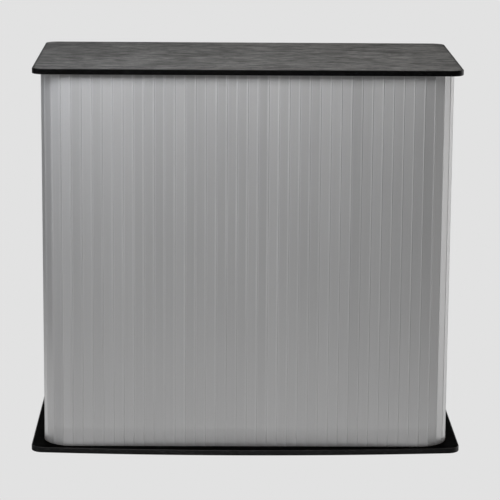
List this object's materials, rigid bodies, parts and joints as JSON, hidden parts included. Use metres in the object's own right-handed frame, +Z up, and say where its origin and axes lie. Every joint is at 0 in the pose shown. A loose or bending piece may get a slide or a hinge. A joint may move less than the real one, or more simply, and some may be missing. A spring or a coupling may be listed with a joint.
{
  "type": "promotional counter",
  "caption": "Free-standing exhibition counter: black woodgrain top and base boards, a wrap of upright silver slats with rounded front corners between them, open back with a shelf, lift-off top.",
  "frame": {"origin": "on the floor, under the middle of the base's bounding box", "axes": "+X along the width to the right as seen from the front, +Y from the slatted front to the open back, +Z up"},
  "size_m": [1.074, 0.57, 0.965],
  "materials": {
    "laminate": "black ash woodgrain laminate on MDF, satin",
    "edging": "black edge band, semi-gloss",
    "slat": "silver anodised, satin, drawn lengthways",
    "tube": "satin tube",
    "fastener": "zinc plated",
    "nylon": "black nylon"
  },
  "bodies": {
    "stand": {"base_board": "laminate", "base_bolt_back_left": "fastener", "base_bolt_back_right": "fastener", "base_bolt_front_left": "fastener", "base_bolt_front_right": "fastener", "base_edge_band": "edging", "post_lower_back_left": "tube", "post_lower_back_right": "tube", "post_lower_front_left": "tube", "post_lower_front_right": "tube", "post_upper_back_left": "tube", "post_upper_back_right": "tube", "post_upper_front_left": "tube", "post_upper_front_right": "tube", "shelf_board": "laminate", "shelf_edge_band": "edging", "shelf_stud_back_left": "fastener", "shelf_stud_back_right": "fastener", "shelf_stud_front_left": "fastener", "shelf_stud_front_right": "fastener", "slat_corner_left_1": "slat", "slat_corner_left_2": "slat", "slat_corner_left_3": "slat", "slat_corner_left_4": "slat", "slat_corner_left_5": "slat", "slat_corner_right_1": "slat", "slat_corner_right_2": "slat", "slat_corner_right_3": "slat", "slat_corner_right_4": "slat", "slat_corner_right_5": "slat", "slat_run_front": "slat", "slat_run_left": "slat", "slat_run_right": "slat", "top_pin_back_left": "fastener", "top_pin_back_right": "fastener", "top_pin_front_left": "fastener", "top_pin_front_right": "fastener", "wrap_end_left": "slat", "wrap_end_right": "slat"},
    "top": {"top_board": "laminate", "top_edge_band": "edging", "top_socket_back_left": "nylon", "top_socket_back_right": "nylon", "top_socket_front_left": "nylon", "top_socket_front_right": "nylon"}
  },
  "joints": [
    {"name": "top_lift", "type": "slide", "parent": "stand", "child": "top", "axis": [0, 0, 1], "range_m": [0, 0.06]}
  ]
}
